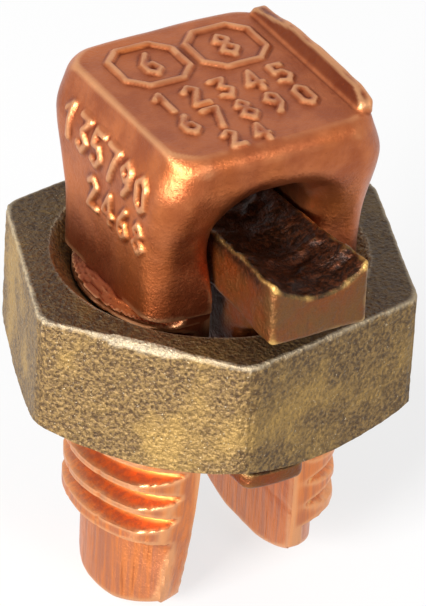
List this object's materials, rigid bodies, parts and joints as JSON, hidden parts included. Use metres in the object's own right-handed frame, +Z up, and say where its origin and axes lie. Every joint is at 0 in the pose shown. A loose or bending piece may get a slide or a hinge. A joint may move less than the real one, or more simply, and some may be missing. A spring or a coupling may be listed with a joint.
{
  "type": "split bolt connector",
  "caption": "Forged copper split bolt with a slotted, threaded shank, a hexagon nut and a swivelling pressure bar that clamps two conductors side by side in the slot.",
  "frame": {"origin": "on the surface the connector stands on, under the middle of the bolt's axis, at the level of the longer leg's end", "axes": "+Z up along the bolt's axis towards the head, +Y along the conductors, +X across the slot towards the shorter leg"},
  "size_m": [0.0198, 0.0194, 0.0265],
  "materials": {
    "bolt_body": "forged copper, satin with darker recesses and bright rubbed edges",
    "hex_nut": "sand-cast bronze, fine grain, worn bright edges",
    "pressure_bar": "cast bronze with a near-black patina in the wire groove"
  },
  "bodies": {
    "bolt": {"bolt_body": "bolt_body"},
    "pressure_bar": {"pressure_bar": "pressure_bar"},
    "hex_nut": {"hex_nut": "hex_nut"}
  },
  "joints": [
    {"name": "bar_slide", "type": "slide", "parent": "bolt", "child": "pressure_bar", "axis": [0, 0, 1], "range_m": [-0.00763, 0.00033]},
    {"name": "nut_turn", "type": "hinge", "parent": "pressure_bar", "child": "hex_nut", "pos_m": [0, 0, 0.0136], "axis": [0, 0, 1], "range_deg": [-2160, 90]}
  ],
  "couplings": [
    {"joint": "bar_slide", "follows": "nut_turn", "m_per_rad": 0.00020213}
  ]
}
